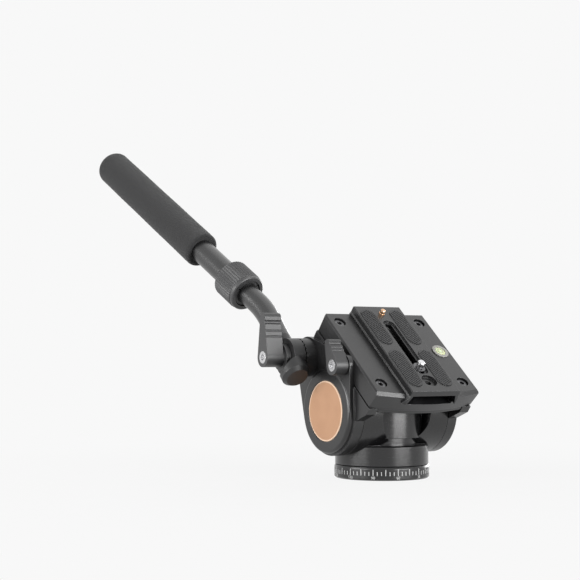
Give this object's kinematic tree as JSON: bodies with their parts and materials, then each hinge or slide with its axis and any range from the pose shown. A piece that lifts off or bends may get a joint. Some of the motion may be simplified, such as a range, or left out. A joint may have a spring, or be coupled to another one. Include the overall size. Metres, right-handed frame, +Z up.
{
  "type": "fluid video head",
  "caption": "Tripod fluid video head with a panning base, tilting platform, sliding quick release plate, copper side disc, lock levers and a telescoping pan handle with a foam grip.",
  "frame": {"origin": "centre of the tripod thread on the bottom face of the scale ring", "axes": "+Z up along the pan axis, -Y to the front where the camera looks, +X along the tilt axis, to the right as seen from the front"},
  "size_m": [0.204, 0.3976, 0.3121],
  "materials": {
    "black_cast": "satin",
    "ring_black": "satin",
    "black_tube": "satin",
    "lever": "satin",
    "dark_steel": "satin",
    "bright_steel": "satin",
    "brass": "satin",
    "copper": "satin",
    "rubber": "matte",
    "foam": "matte",
    "drag_plastic": "satin",
    "vial": "gloss"
  },
  "bodies": {
    "base": {"scale_ring": "ring_black", "thread_bush": "brass", "pan_spindle": "dark_steel", "spindle_screws": "dark_steel", "pan_washer": "bright_steel", "spindle_nut": "bright_steel", "friction_ring": "drag_plastic"},
    "pan_body": {"pan_housing": "black_cast", "pan_bush": "brass", "bearing_plate": "bright_steel", "retaining_ring": "dark_steel", "tilt_bushes": "brass", "drag_stators": "bright_steel", "counterbalance_spring": "dark_steel"},
    "pan_lock": {"pan_lock_knob": "lever", "pan_lock_stud": "bright_steel", "brake_shoe": "brass"},
    "tilt_head": {"platform": "black_cast", "left_arm": "black_cast", "right_arm": "black_cast", "arm_screws": "dark_steel", "side_disc": "copper", "tilt_shaft": "bright_steel", "drag_rotors": "dark_steel", "bubble_ring": "drag_plastic", "bubble_vial": "vial", "tilt_lock_washer": "dark_steel", "fixed_rosette": "black_cast", "clamp_stud": "bright_steel"},
    "tilt_lock": {"tilt_lock_lever": "lever", "tilt_lock_screw": "bright_steel"},
    "plate_lock": {"plate_lock_lever": "lever", "plate_lock_screw": "bright_steel", "plate_lock_stud": "dark_steel"},
    "jaw": {"clamp_jaw": "dark_steel"},
    "plate": {"quick_plate": "black_cast", "plate_pads": "rubber", "pin_cup": "dark_steel", "pin_spring": "bright_steel"},
    "pin": {"video_pin": "brass"},
    "screw_carrier": {"screw_clip": "dark_steel"},
    "camera_stud": {"camera_screw": "bright_steel"},
    "handle": {"handle_clamp": "black_cast", "tube_root": "black_tube", "tube_bend": "black_tube", "inner_tube": "black_tube", "tube_screw": "dark_steel"},
    "handle_lock": {"handle_lock_lever": "lever", "handle_lock_screw": "bright_steel"},
    "grip": {"outer_tube": "black_tube", "tube_plug": "rubber", "collet": "lever", "foam_grip": "foam"},
    "collar": {"lock_collar": "lever"}
  },
  "joints": [
    {"name": "pan", "type": "hinge", "parent": "base", "child": "pan_body", "pos_m": [0, 0, 0.02], "axis": [0, 0, 1], "continuous": true},
    {"name": "pan_lock_turn", "type": "hinge", "parent": "pan_body", "child": "pan_lock", "pos_m": [0, 0.04, 0.022], "axis": [0, 1, 0], "range_deg": [-180, 0]},
    {"name": "tilt", "type": "hinge", "parent": "pan_body", "child": "tilt_head", "pos_m": [0, 0, 0.058], "axis": [1, 0, 0], "range_deg": [-100, 40]},
    {"name": "tilt_lock_turn", "type": "hinge", "parent": "tilt_head", "child": "tilt_lock", "pos_m": [0.06, 0, 0.058], "axis": [1, 0, 0], "range_deg": [-60, 60]},
    {"name": "plate_lock_turn", "type": "hinge", "parent": "tilt_head", "child": "plate_lock", "pos_m": [-0.06, -0.0267, 0.09682], "axis": [1, 0, 0], "range_deg": [0, 90]},
    {"name": "jaw_slide", "type": "slide", "parent": "tilt_head", "child": "jaw", "axis": [-1, 0, 0], "range_m": [0, 0.0003]},
    {"name": "plate_slide", "type": "slide", "parent": "tilt_head", "child": "plate", "axis": [0, 0.766, 0.6428], "range_m": [-0.03, 0.03]},
    {"name": "pin_press", "type": "slide", "parent": "plate", "child": "pin", "axis": [0, 0.6428, -0.766], "range_m": [0, 0.004], "stiffness_N_per_m": 400, "springref_m": -0.001, "deforming": ["pin_spring"]},
    {"name": "screw_slide", "type": "slide", "parent": "plate", "child": "screw_carrier", "axis": [0, 0.766, 0.6428], "range_m": [-0.0035, 0.054]},
    {"name": "camera_screw_turn", "type": "hinge", "parent": "screw_carrier", "child": "camera_stud", "pos_m": [0, -0.05518, 0.09576], "axis": [0, -0.6428, 0.766], "continuous": true},
    {"name": "handle_swivel", "type": "hinge", "parent": "tilt_head", "child": "handle", "pos_m": [0, 0.0301, 0.10349], "axis": [1, 0, 0], "range_deg": [-75, 75]},
    {"name": "handle_lock_turn", "type": "hinge", "parent": "handle", "child": "handle_lock", "pos_m": [-0.09, 0.0301, 0.10349], "axis": [1, 0, 0], "range_deg": [-60, 60]},
    {"name": "grip_extend", "type": "slide", "parent": "handle", "child": "grip", "axis": [-0.1495, 0.8312, 0.5355], "range_m": [0, 0.09]},
    {"name": "collar_turn", "type": "hinge", "parent": "grip", "child": "collar", "pos_m": [-0.08239, 0.10718, 0.16866], "axis": [-0.1495, 0.8312, 0.5355], "range_deg": [-120, 0]}
  ],
  "couplings": [
    {"joint": "plate_lock_turn", "follows": "jaw_slide", "rad_per_m": 5235.9}
  ]
}
